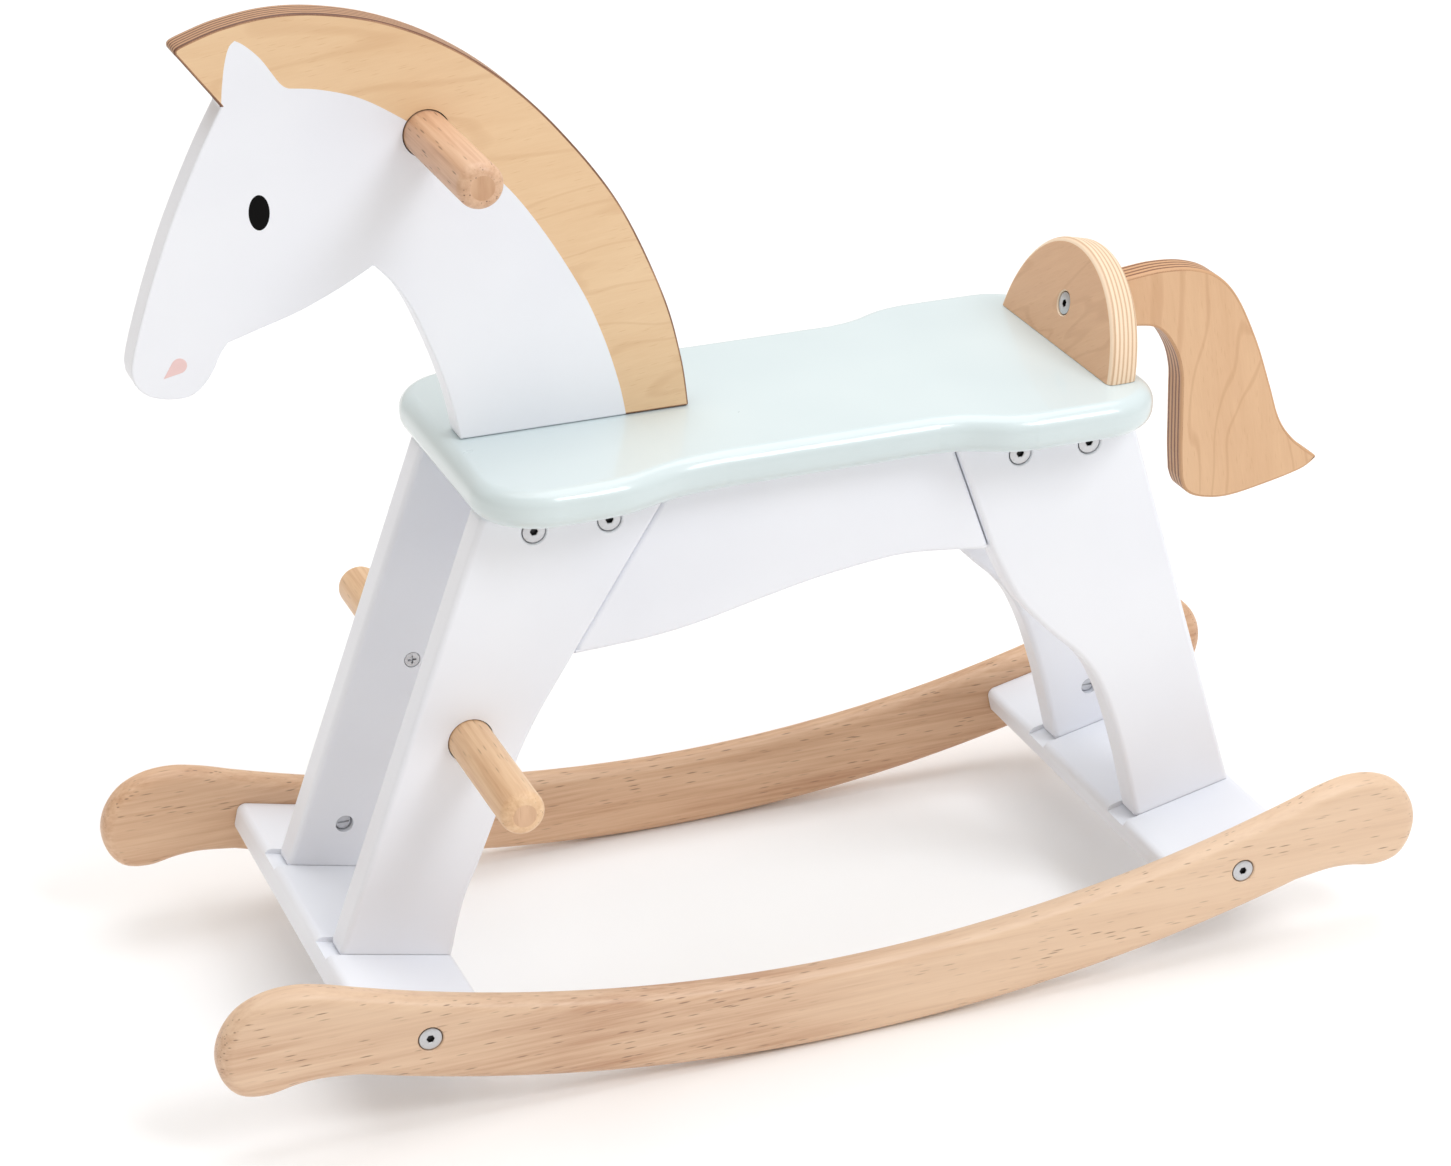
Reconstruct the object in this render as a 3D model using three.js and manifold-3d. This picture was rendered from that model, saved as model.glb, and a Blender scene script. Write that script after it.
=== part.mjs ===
// Rocking horse for a toddler: two bowed rockers, two cross planks, four
// leg boards, a saddle seat with a head board in front and a small backrest
// with a tail behind. Millimetres, +Z up, head toward -X, the horse's right
// side toward +Y. The origin is on the floor under the middle of the rockers.
import * as THREE from 'three';
import { mergeVertices } from 'three/addons/utils/BufferGeometryUtils.js';
import Module from 'manifold-3d';

const wasm = await Module();
wasm.setup();

// ---------------------------------------------------------------- sizes
const GAP = 0.3;                // free space between neighbouring pieces
const LENGTH = 726;             // rocker tip to rocker tip
const SPAN = 286;               // across the outer faces of the rockers
const BOARD = 18;               // head, backrest, tail, aprons, rockers, planks
const LEG_BOARD = 20;           // leg panels
const LEG_FACE = 64;            // outer face of a leg from the centre plane
const SEAT_TOP = 343;
const SEAT_BOARD = 22;
const DOWEL = 25;               // handle and footrest rods
const ROCKER_DEPTH = 47.5;      // height of a rocker at the middle
const FLOOR_RADIUS = 1015;      // rolling arc under the rockers
const TOP_RADIUS = 940;         // arc along the top of the rockers
const KNOB_LONG = 78;           // rounded end of a rocker, past its arcs
const PLANK_WIDTH = 76;
const PLANK_TILT = THREE.MathUtils.degToRad(12.7);
const PLANK_X = 247;            // plank centre from the middle of the horse
const PLANK_LIFT = 1.5;         // plank middle above the rocker's middle there
const GROOVE = 3;               // depth of the plank grooves the legs stand in
const BAR_WIDTH = 64;           // crossbars under the seat
const BAR_THICK = 26;
const BAR_X = { front: -133.5, rear: 154.5 };
const BOLT_PITCH = 43;          // between the two bolts at the top of a leg
const BOLT = 6;                 // furniture bolt shank
const HEAD = 13;                // furniture bolt head
const HEAD_THICK = 2.4;
const SOCKET = 4;               // hex key size
const BARREL = 10;              // cross nut
const BARREL_LONG = BOARD - 4;
const NUT_SINK = 8;             // a cross nut's bore runs this far past the nut
const SCREW = 5;                // wood screw shank
const SCREW_HEAD = 9;
const ROUND = 10;               // facets around a fastener
const LEAN = THREE.MathUtils.degToRad(13.2);  // backrest, top toward the rear
const BACK_FOOT = 192.2;        // backrest centre line at the seat top
const BACK_HIGH = 60;
const BACK_WIDE = 143;          // backrest, where its curve is widest
const BACK_DROP = 14;           // that widest line lies this far under the seat top
const HANDLE = { x: -190, up: 174.7, reach: 103 };   // up from the seat
const FOOTREST = { x: -194.5, z: 189.4, reach: 92, socket: 8 };
const SEAT = { front: -190, rear: 212, wide: 98, waist: 82, corner: 38, roll: 9 };

const SEAT_BOTTOM = SEAT_TOP - SEAT_BOARD;
const BAR_Z = SEAT_BOTTOM - GAP - BAR_THICK / 2;
const LEG_MID = LEG_FACE - LEG_BOARD / 2;
const LEG_INNER = LEG_FACE - LEG_BOARD;
const RAIL_INNER = SPAN / 2 - BOARD;
const ROCKER_ROUND = Math.min(7.5, 0.42 * BOARD);
const LEG_ROUND = 3.5;
const APRON_ROUND = 2.5;
const SIDES = { near: -1, far: 1 };

// ---------------------------------------------------------------- helpers
const v2 = (x, y) => new THREE.Vector2(x, y);

// points along a smooth curve through the given stations
function smooth(stations, count) {
  const curve = new THREE.SplineCurve(stations.map(([x, y]) => v2(x, y)));
  return curve.getSpacedPoints(count);
}

function arc(cx, cy, rx, ry, from, to, count) {
  const out = [];
  for (let i = 0; i <= count; i += 1) {
    const a = from + (to - from) * (i / count);
    out.push(v2(cx + rx * Math.cos(a), cy + ry * Math.sin(a)));
  }
  return out;
}

// one closed outline from several runs, dropping repeated end points
function outline(...runs) {
  const out = [];
  for (const p of runs.flat()) {
    const q = Array.isArray(p) ? v2(p[0], p[1]) : p;
    const last = out[out.length - 1];
    if (!last || last.distanceTo(q) > 0.05) out.push(q);
  }
  if (out[0].distanceTo(out[out.length - 1]) < 0.05) out.pop();
  return new THREE.Shape(out);
}

// a sheet with its edges rounded by `edge`, centred on the sheet's mid plane
function sheet(shape, thick, edge, rounds) {
  const opts = { depth: thick - 2 * edge, steps: 1, bevelEnabled: edge > 0 };
  if (edge > 0) {
    opts.bevelThickness = edge;
    opts.bevelSize = edge;
    opts.bevelOffset = -edge;
    opts.bevelSegments = rounds;
  }
  const geo = new THREE.ExtrudeGeometry(shape, opts);
  return geo.translate(0, 0, edge - thick / 2);
}

// upright sheet: outline x,y becomes X,Z and the thickness lies along Y
function upright(shape, thick, edge, rounds, y) {
  return sheet(shape, thick, edge, rounds).rotateX(Math.PI / 2).translate(0, y, 0);
}

function solid(geo) {
  const plain = geo.clone();
  plain.deleteAttribute('normal');
  plain.deleteAttribute('uv');
  const g = mergeVertices(plain.index ? plain.toNonIndexed() : plain, 1e-4);
  return new wasm.Manifold(new wasm.Mesh({
    numProp: 3,
    vertProperties: new Float32Array(g.attributes.position.array),
    triVerts: new Uint32Array(g.index.array),
  }));
}

function back(manifold) {
  const mesh = manifold.getMesh();
  const g = new THREE.BufferGeometry();
  g.setAttribute('position', new THREE.BufferAttribute(new Float32Array(mesh.vertProperties), 3));
  g.setIndex(new THREE.BufferAttribute(new Uint32Array(mesh.triVerts), 1));
  g.computeVertexNormals();
  return g;
}

function cut(geo, tools) {
  let m = solid(geo);
  for (const t of tools) m = m.subtract(solid(t));
  return back(m);
}

function join(geo, others) {
  let m = solid(geo);
  for (const t of others) m = m.add(solid(t));
  return back(m);
}

// put something made along +Z onto a start point and a direction
function along(geo, start, dir) {
  const q = new THREE.Quaternion();
  q.setFromUnitVectors(new THREE.Vector3(0, 0, 1), dir.clone().normalize());
  return geo.applyQuaternion(q).translate(start.x, start.y, start.z);
}

// turned piece from radius/height stations that begin and end on the axis
function turned(stations, sides) {
  const g = new THREE.LatheGeometry(stations.map(([r, h]) => v2(r, h)), sides);
  return g.rotateX(Math.PI / 2);
}

function rod(radius, from, to, sides = 20) {
  return turned([[0, from], [radius, from], [radius, to], [0, to]], sides);
}

// flat head furniture bolt; the outer face of the head is at height 0 and the
// shank runs toward +Z
function boltBody(long) {
  const r = HEAD / 2;
  const tip = 1;
  const body = turned([
    [0, 0], [r - 0.5, 0], [r, 0.5], [r, HEAD_THICK],
    [BOLT / 2, HEAD_THICK], [BOLT / 2, long - tip], [BOLT / 2 - tip, long], [0, long],
  ], ROUND);
  const key = turned([[0, -1], [SOCKET / Math.sqrt(3), -1], [SOCKET / Math.sqrt(3), 2], [0, 2]], 6);
  return cut(body, [key]);
}

// recess for the head and clearance hole for the shank
function boltHole(long) {
  const r = HEAD / 2 + GAP * 2;
  const s = BOLT / 2 + GAP;
  const floor = HEAD_THICK + GAP * 2;
  return turned([[0, -5], [r, -5], [r, floor], [s, floor], [s, long + 1.5], [0, long + 1.5]], ROUND);
}

// countersunk screw, head face at height 0, cross recess, point toward +Z
function screwBody(long) {
  const r = SCREW_HEAD / 2;
  const tip = 4;
  const body = turned([
    [0, 0], [r, 0], [r, 0.5], [SCREW / 2, 3],
    [SCREW / 2, long - tip], [0.6, long - 0.3], [0, long],
  ], ROUND);
  const a = new THREE.BoxGeometry(5, 1.1, 3);
  const b = new THREE.BoxGeometry(1.1, 5, 3);
  return cut(body, [a, b]);
}

// countersink and clearance hole, open toward -Z
function screwHole(long) {
  const r = SCREW_HEAD / 2 + GAP;
  const s = SCREW / 2 + GAP;
  return turned([[0, -5], [r, -5], [r, 0.7], [s, 3.2], [s, long + 1], [0, long + 1]], ROUND);
}

// cross nut: a short plug along +Z, centred, with the bolt hole through its side
function barrelBody(across) {
  const r = BARREL / 2;
  const h = BARREL_LONG / 2;
  const e = 0.6;
  const plug = turned([[0, -h], [r - e, -h], [r, e - h], [r, h - e], [r - e, h], [0, h]], ROUND);
  const hole = rod(BOLT / 2 + GAP, -r - 2, r + 2, ROUND);
  const slot = new THREE.BoxGeometry(BARREL * 0.7, 1.2, 2).translate(0, 0, -h);
  return cut(plug, [along(hole, new THREE.Vector3(), across), slot]);
}

// bore for a cross nut, open past the nut's slotted end
function barrelHole() {
  return rod(BARREL / 2 + GAP, -BARREL_LONG / 2 - NUT_SINK, BARREL_LONG / 2 + 0.7, ROUND);
}

// ---------------------------------------------------------------- materials
const finish = (color, roughness, metalness = 0) => ({ color, roughness, metalness });
const LOOK = {
  white: finish('#eceff4', 0.5),
  seat: finish('#d5e4e8', 0.25),
  ply: finish('#e3b98c', 0.55),
  timber: finish('#e2bd92', 0.6),
  steel: finish('#b9bcc0', 0.35, 1),
};

const horse = new THREE.Group();
horse.name = 'rocking_horse';

function add(name, geo, look) {
  const mesh = new THREE.Mesh(geo, new THREE.MeshStandardMaterial(LOOK[look]));
  mesh.name = name;
  horse.add(mesh);
}

// ---------------------------------------------------------------- rocker arcs
const rockerLow = (x) => FLOOR_RADIUS - Math.sqrt(FLOOR_RADIUS ** 2 - x * x);
const rockerHigh = (x) => ROCKER_DEPTH + TOP_RADIUS - Math.sqrt(TOP_RADIUS ** 2 - x * x);
const PLANK_Z = (rockerLow(PLANK_X) + rockerHigh(PLANK_X)) / 2 + PLANK_LIFT;

// ---------------------------------------------------------------- planks
// The planks tip up toward the ends of the horse. `end` is -1 in front and +1
// behind; s runs outward along the plank and h is the height over its middle.
function onPlank(end, s, h) {
  const c = Math.cos(PLANK_TILT);
  const n = Math.sin(PLANK_TILT);
  return [end * (PLANK_X + s * c - h * n), PLANK_Z + s * n + h * c];
}

function plankUp(end) {
  return new THREE.Vector3(-end * Math.sin(PLANK_TILT), 0, Math.cos(PLANK_TILT));
}

// height at station x of the sheet that lies h over the plank's middle
function plankHeight(end, x, h) {
  const c = Math.cos(PLANK_TILT);
  const s = (end * x - PLANK_X + h * Math.sin(PLANK_TILT)) / c;
  return PLANK_Z + s * Math.sin(PLANK_TILT) + h * c;
}

// ---------------------------------------------------------------- bolt layout
const ENDS = { front: -1, rear: 1 };
const legBolts = [];
const footBolts = [];
const railBolts = [];
const RECESS = 0.4;             // bolt heads sit this far under the surface
const LEG_BOLT_LONG = LEG_BOARD + 26;
const FOOT_BOLT_LONG = BOARD + 32;
const RAIL_BOLT_LONG = BOARD + 34;
const TAIL_BOLT_LONG = BOARD + 15;
const REST_SCREW_LONG = LEG_BOARD + 20;
for (const [endName, end] of Object.entries(ENDS)) {
  for (const [sideName, side] of Object.entries(SIDES)) {
    const inward = new THREE.Vector3(0, -side, 0);
    for (const [tag, shift] of [['a', -BOLT_PITCH / 2], ['b', BOLT_PITCH / 2]]) {
      legBolts.push({
        name: `${endName}_${sideName}_${tag}`,
        endName,
        side,
        start: new THREE.Vector3(BAR_X[endName] + shift, side * (LEG_FACE - RECESS), BAR_Z),
        dir: inward,
        nutAt: LEG_BOARD + 17,
      });
    }
    const [fx, fz] = onPlank(end, 0, -BOARD / 2 + RECESS);
    footBolts.push({
      name: `${endName}_${sideName}`,
      endName,
      side,
      start: new THREE.Vector3(fx, side * LEG_MID, fz),
      dir: plankUp(end),
      nutAt: BOARD + 27 - RECESS,
    });
    const [rx, rz] = onPlank(end, 0, 0);
    railBolts.push({
      name: `${endName}_${sideName}`,
      endName,
      side,
      start: new THREE.Vector3(rx, side * (SPAN / 2 - RECESS), rz),
      dir: inward,
      nutAt: BOARD + 28,
    });
  }
}
const at = (b, dist) => b.start.clone().addScaledVector(b.dir, dist);

// ---------------------------------------------------------------- rockers
function rockerShape() {
  const tip = LENGTH / 2;
  const sweep = tip - KNOB_LONG;
  const b = rockerLow(sweep);
  const t = rockerHigh(sweep);
  const knob = smooth([
    [sweep, b], [tip - 58, b + 2.6], [tip - 43, b + 2.2], [tip - 26, b - 0.6],
    [tip - 11.5, b + 2.2], [tip - 3, b + 12], [tip, b + 26], [tip - 3.5, t - 11.1],
    [tip - 13, t + 0.7], [tip - 28, t + 7.4], [tip - 45, t + 8.5], [tip - 62, t + 5.1],
    [sweep, t],
  ], 24);
  const bottom = [];
  const top = [];
  for (let i = 0; i <= 16; i += 1) {
    const x = sweep * (i / 8 - 1);
    bottom.push([x, rockerLow(x)]);
    top.push([-x, rockerHigh(x)]);
  }
  const flipped = knob.map((p) => v2(-p.x, p.y)).reverse();
  return outline(bottom, knob, top, flipped);
}

for (const [sideName, side] of Object.entries(SIDES)) {
  const holes = railBolts.filter((b) => b.side === side)
    .map((b) => along(boltHole(RAIL_BOLT_LONG), b.start, b.dir));
  const body = upright(rockerShape(), BOARD, ROCKER_ROUND, 2, side * (SPAN / 2 - BOARD / 2));
  add(`rocker_${sideName}`, cut(body, holes), 'timber');
}

// ---------------------------------------------------------------- base planks
for (const [endName, end] of Object.entries(ENDS)) {
  const half = RAIL_INNER - GAP;
  const w = PLANK_WIDTH / 2;
  const t = BOARD / 2;
  const r = 5;
  const turn = Math.PI / 2;
  const section = outline(
    arc(w - r, t - r, r, r, 0, turn, 4), arc(r - w, t - r, r, r, turn, 2 * turn, 4),
    arc(r - w, r - t, r, r, 2 * turn, 3 * turn, 4), arc(w - r, r - t, r, r, 3 * turn, 4 * turn, 4),
  );
  const body = sheet(section, 2 * half, 0, 0).rotateX(Math.PI / 2)
    .rotateY(-end * PLANK_TILT).translate(end * PLANK_X, 0, PLANK_Z);
  const tools = [];
  for (const side of Object.values(SIDES)) {
    const groove = new THREE.BoxGeometry(PLANK_WIDTH + 10, LEG_BOARD + 2 * GAP, 2 * GROOVE)
      .translate(0, side * LEG_MID, BOARD / 2)
      .rotateY(-end * PLANK_TILT).translate(end * PLANK_X, 0, PLANK_Z);
    tools.push(groove);
  }
  for (const b of footBolts.filter((f) => f.endName === endName)) {
    tools.push(along(boltHole(FOOT_BOLT_LONG), b.start, b.dir));
  }
  for (const b of railBolts.filter((f) => f.endName === endName)) {
    tools.push(along(boltHole(RAIL_BOLT_LONG), b.start, b.dir));
    tools.push(along(barrelHole(), at(b, b.nutAt), plankUp(end)));
  }
  add(`base_plank_${endName}`, cut(body, tools), 'white');
}

// ---------------------------------------------------------------- legs
// The straight stretches where the apron ends butt against the legs.
const LEG_TOP = SEAT_BOTTOM - GAP;
const JOINT = {
  front: { low: [-134.5, 229], high: [-75.5, LEG_TOP] },
  rear: { low: [117.5, 250], high: [92, LEG_TOP] },
};
// Outer edge of the legs: how far past the plank's middle it stands, and where it ends on top.
const LEG_EDGE = {
  front: { foot: -PLANK_X - 27.5, top: -184 },
  rear: { foot: PLANK_X + 33, top: 203.2 },
};
const LEG_INSIDE = { front: 37, rear: 29 };   // inner edge, short of the plank's middle
const STAND = BOARD / 2 - GROOVE + GAP;   // underside of the legs over mid plank

function legShape(endName) {
  const on = (x) => [x, plankHeight(ENDS[endName], x, STAND)];
  const joint = JOINT[endName];
  const edge = LEG_EDGE[endName];
  if (endName === 'front') {
    const shin = smooth([
      on(LEG_INSIDE.front - PLANK_X), [-201.5, 89], [-191, 114], [-180.5, 140], [-168.5, 170], [-155.5, 196],
      joint.low,
    ], 12);
    return outline([on(edge.foot)], shin, [joint.high, [edge.top, LEG_TOP]]);
  }
  const thigh = smooth([
    joint.low, [132.5, 220], [146, 202.5], [159.5, 188.5], [172.5, 176], [183.5, 162.5],
    [191, 148.5], [198, 131], [205.5, 107], [211, 86], on(PLANK_X - LEG_INSIDE.rear),
  ], 16);
  return outline([on(edge.foot), [edge.top, LEG_TOP], joint.high], thigh);
}

// bar lying on the line between two XZ points, used for tongues and grooves
function tongue(joint, y, reach, thick, spare) {
  const [ax, az] = joint.low;
  const [bx, bz] = joint.high;
  const long = Math.hypot(bx - ax, bz - az) * 0.6 + 2 * spare;
  return new THREE.BoxGeometry(2 * reach, thick, long)
    .rotateY(Math.atan2(bx - ax, bz - az))
    .translate((ax + bx) / 2, y, (az + bz) / 2);
}

const APRON_SET = 2.5;          // the apron face lies this far behind the leg face
const APRON_MID = LEG_FACE - APRON_SET - BOARD / 2;
const TONGUE = 6;
const TONGUE_LONG = 7;
for (const endName of Object.keys(ENDS)) {
  for (const [sideName, side] of Object.entries(SIDES)) {
    const name = `${endName}_${sideName}`;
    const body = upright(legShape(endName), LEG_BOARD, LEG_ROUND, 1, side * LEG_MID);
    const tools = [
      tongue(JOINT[endName], side * APRON_MID, TONGUE_LONG + GAP, TONGUE + 2 * GAP, GAP),
    ];
    for (const b of legBolts.filter((f) => f.endName === endName && f.side === side)) {
      tools.push(along(boltHole(LEG_BOLT_LONG), b.start, b.dir));
    }
    const foot = footBolts.find((f) => f.name === name);
    tools.push(along(boltHole(FOOT_BOLT_LONG), foot.start, foot.dir));
    const inward = new THREE.Vector3(0, -side, 0);
    const nut = at(foot, foot.nutAt);
    tools.push(along(barrelHole(), nut, inward.clone().negate()));
    if (endName === 'front') {
      const face = new THREE.Vector3(FOOTREST.x, side * LEG_FACE, FOOTREST.z);
      tools.push(along(rod(DOWEL / 2 + GAP, -FOOTREST.socket, 5, 24), face, inward.clone().negate()));
      const inner = new THREE.Vector3(FOOTREST.x, side * (LEG_INNER + GAP), FOOTREST.z);
      tools.push(along(screwHole(REST_SCREW_LONG), inner, inward.clone().negate()));
    }
    add(`leg_${name}`, cut(body, tools), 'white');
  }
}

// ---------------------------------------------------------------- aprons
function apronShape() {
  const slip = (joint, key, dx) => [joint[key][0] + dx, joint[key][1]];
  const d = GAP * 1.2;
  const hem = smooth([
    slip(JOINT.front, 'low', d), [-108, 230], [-84, 231.5], [-57, 235.5], [-23, 243],
    [12, 250], [47, 254.5], [66, 255.5], [90, 253.5], slip(JOINT.rear, 'low', -d),
  ], 16);
  return outline(hem, [slip(JOINT.rear, 'high', -d), slip(JOINT.front, 'high', d)]);
}

for (const [sideName, side] of Object.entries(SIDES)) {
  const body = upright(apronShape(), BOARD, APRON_ROUND, 1, side * APRON_MID);
  const tongues = Object.values(JOINT)
    .map((joint) => tongue(joint, side * APRON_MID, TONGUE_LONG, TONGUE, 0));
  add(`apron_${sideName}`, join(body, tongues), 'white');
}

// ---------------------------------------------------------------- crossbars
const headScrews = [-20, 14].map((dx) => new THREE.Vector3(
  BAR_X.front + dx, 0, BAR_Z - BAR_THICK / 2 + GAP,
));
const HEAD_SCREW_LONG = BAR_THICK + SEAT_BOARD + 37;
const BACK_SCREW_LONG = SEAT_BOARD + 22;
const SEAT_SCREW_LONG = BAR_THICK + 16;
const backScrews = [-30, 30].map((y) => new THREE.Vector3(BACK_FOOT + 1.8, y, SEAT_BOTTOM + GAP));
const seatScrew = new THREE.Vector3(BAR_X.rear, 0, BAR_Z - BAR_THICK / 2 + GAP);
const UP = new THREE.Vector3(0, 0, 1);

for (const endName of Object.keys(ENDS)) {
  const w = BAR_WIDTH / 2;
  const t = BAR_THICK / 2;
  const e = 1.5;
  const section = outline([
    [w, e - t], [w, t - e], [w - e, t], [e - w, t],
    [-w, t - e], [-w, e - t], [e - w, -t], [w - e, -t],
  ]);
  const body = sheet(section, 2 * (LEG_INNER - GAP), 0, 0).rotateX(Math.PI / 2)
    .translate(BAR_X[endName], 0, BAR_Z);
  const tools = [];
  for (const b of legBolts.filter((f) => f.endName === endName)) {
    tools.push(along(boltHole(LEG_BOLT_LONG), b.start, b.dir));
    tools.push(along(barrelHole(), at(b, b.nutAt), UP));
  }
  const screws = endName === 'front' ? headScrews : [seatScrew];
  for (const s of screws) tools.push(along(screwHole(HEAD_SCREW_LONG), s, UP));
  add(`crossbar_${endName}`, cut(body, tools), 'white');
}

// ---------------------------------------------------------------- seat
function seatShape() {
  const { front, rear, wide, waist, corner } = SEAT;
  const turn = Math.PI / 2;
  const hollow = [
    ...smooth([[-128, wide], [-108, wide - 2.5], [-78, waist + 3.5], [-50, waist]], 6),
    ...smooth([[74, waist], [90, waist + 3.2], [111, wide - 3.2], [128, wide]], 6),
  ];
  const left = [
    ...arc(front + corner, wide - corner, corner, corner, 2 * turn, turn, 6),
    ...hollow,
    ...arc(rear - corner, wide - corner, corner, corner, turn, 0, 6),
  ];
  const right = left.map((p) => v2(p.x, -p.y)).reverse();
  return outline(left.concat(right).reverse());
}

const seatTools = [
  ...headScrews.map((s) => along(screwHole(HEAD_SCREW_LONG), s, UP)),
  ...backScrews.map((s) => along(screwHole(BACK_SCREW_LONG), s, UP)),
  along(screwHole(SEAT_SCREW_LONG), seatScrew, UP),
];
const seatBody = sheet(seatShape(), SEAT_BOARD, SEAT.roll, 3)
  .translate(0, 0, SEAT_TOP - SEAT_BOARD / 2);
add('seat', cut(seatBody, seatTools), 'seat');

// ---------------------------------------------------------------- head
const ON_SEAT = SEAT_TOP + GAP;

// stations given as distance along the horse and height over the seat
const overSeat = (stations) => stations.map(([x, h]) => [x, ON_SEAT + h]);

function headShape() {
  const mane = smooth(overSeat([
    [-45, 0], [-49, 29], [-59.5, 68], [-84, 122.5], [-117, 168], [-149, 200.5], [-181, 223],
    [-213, 237.5], [-244, 245], [-270, 246.5], [-295, 243], [-313, 237.5],
  ]), 24);
  const brow = smooth(overSeat([
    [-313, 237.5], [-319, 235], [-320.3, 232.2], [-317.5, 228.2], [-298, 202],
  ]), 5);
  const face = smooth(overSeat([
    [-298, 202], [-309, 182.5], [-320, 160.5], [-330, 138.5], [-339, 115.5], [-346.5, 94],
    [-352.5, 74], [-354, 64], [-351.5, 56], [-345, 50], [-335, 47], [-324, 47.2],
    [-316.5, 52], [-310.5, 60], [-306.5, 68], [-302, 74],
  ]), 26);
  const jaw = smooth(overSeat([
    [-302, 74], [-285, 79.2], [-263, 86], [-240, 96], [-221.5, 106],
  ]), 6);
  const throat = smooth(overSeat([
    [-221.5, 106], [-211, 94], [-202, 79], [-194, 60], [-187, 40.5], [-181, 19], [-177.5, 0],
  ]), 9);
  return outline(mane, brow, face, jaw, throat);
}

const handleAt = new THREE.Vector3(HANDLE.x, 0, ON_SEAT + HANDLE.up);
const Y = new THREE.Vector3(0, 1, 0);
const headBody = upright(headShape(), BOARD, 1.5, 1, 0);
add('head_board', cut(headBody, [
  along(rod(DOWEL / 2 + GAP, -BOARD, BOARD, 24), handleAt, Y),
  ...headScrews.map((s) => along(screwHole(HEAD_SCREW_LONG), s, UP)),
]), 'white');

// rod with well rounded ends, lying along +Z from one height to the other
function dowel(from, to, roundStart) {
  const r = DOWEL / 2;
  const e = 6;
  const corner = (h, dir) => [0, 1, 2, 3, 4].map((i) => {
    const a = (i / 4) * (Math.PI / 2);
    return [r - e + e * Math.sin(a), h + dir * e * (1 - Math.cos(a))];
  });
  const start = roundStart ? corner(from, 1) : [[r - 0.6, from], [r, from + 0.6]];
  const stop = corner(to, -1).reverse();
  return turned([[0, from], ...start, ...stop, [0, to]], 24);
}

add('handle_dowel', along(dowel(-HANDLE.reach, HANDLE.reach, true), handleAt, Y), 'timber');

for (const [sideName, side] of Object.entries(SIDES)) {
  const outward = new THREE.Vector3(0, side, 0);
  const face = new THREE.Vector3(FOOTREST.x, side * LEG_FACE, FOOTREST.z);
  const inner = new THREE.Vector3(FOOTREST.x, side * (LEG_INNER + GAP), FOOTREST.z);
  const rest = along(dowel(GAP - FOOTREST.socket, FOOTREST.reach, false), face, outward);
  const screwWay = along(screwHole(REST_SCREW_LONG), inner, outward);
  add(`footrest_${sideName}`, cut(rest, [screwWay]), 'timber');
  add(`footrest_screw_${sideName}`, along(screwBody(REST_SCREW_LONG), inner, outward), 'steel');
}

// ---------------------------------------------------------------- backrest
function backShape() {
  const a = BACK_WIDE / 2;
  const b = BACK_HIGH + BACK_DROP;
  return outline(arc(0, -BACK_DROP, a, b, 0, Math.PI, 22), [[-a, -40], [a, -40]]);
}

// board upright across the horse, leaning back about the seat top
const backBody = sheet(backShape(), BOARD, 4, 2)
  .rotateX(Math.PI / 2).rotateZ(Math.PI / 2).rotateY(LEAN)
  .translate(BACK_FOOT, 0, SEAT_TOP);
const belowSeat = new THREE.BoxGeometry(200, 300, 200).translate(BACK_FOOT, 0, ON_SEAT - 100);
const BACK_OUT = new THREE.Vector3(Math.cos(LEAN), 0, -Math.sin(LEAN));
const BACK_UP = new THREE.Vector3(Math.sin(LEAN), 0, Math.cos(LEAN));
const backPoint = (h, depth) => new THREE.Vector3(BACK_FOOT, 0, SEAT_TOP)
  .addScaledVector(BACK_UP, h).addScaledVector(BACK_OUT, depth);
const TAIL_BOLT_UP = 23;
const tailBolt = { start: backPoint(TAIL_BOLT_UP, RECESS - BOARD / 2), dir: BACK_OUT };
add('backrest', cut(backBody, [
  belowSeat,
  along(boltHole(TAIL_BOLT_LONG), tailBolt.start, tailBolt.dir),
  ...backScrews.map((s) => along(screwHole(BACK_SCREW_LONG), s, UP)),
]), 'ply');

// ---------------------------------------------------------------- tail
const INSERT = { radius: 4.5, long: 14 };

function tailShape() {
  // the root follows the leaning back of the backrest; the rest is given from its foot
  const root = (h) => {
    const p = backPoint(h / Math.cos(LEAN), BOARD / 2 + GAP);
    return [p.x, SEAT_TOP + h - 1];
  };
  const from = (stations) => stations.map(([x, h]) => [BACK_FOOT + x, SEAT_TOP + h]);
  const top = smooth([root(36.5), ...from([
    [36.8, 38], [55.8, 39.5], [75.8, 37.5], [92.8, 30], [106.8, 14], [120.8, -15],
    [130.8, -43], [138.8, -66], [149.5, -81], [166, -94.5],
  ])], 20);
  const hem = smooth(from([
    [166, -94.5], [156, -101], [131, -107], [106, -110.8], [88, -108.5], [78, -103], [74, -94],
  ]), 10);
  const inside = smooth([...from([
    [74, -94], [72.6, -78], [72, -60], [71.4, -42], [70.6, -27], [66, -12], [56, 2], [42, 6.6],
  ]), root(8.5)], 14);
  return outline(top, hem, inside);
}

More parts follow.
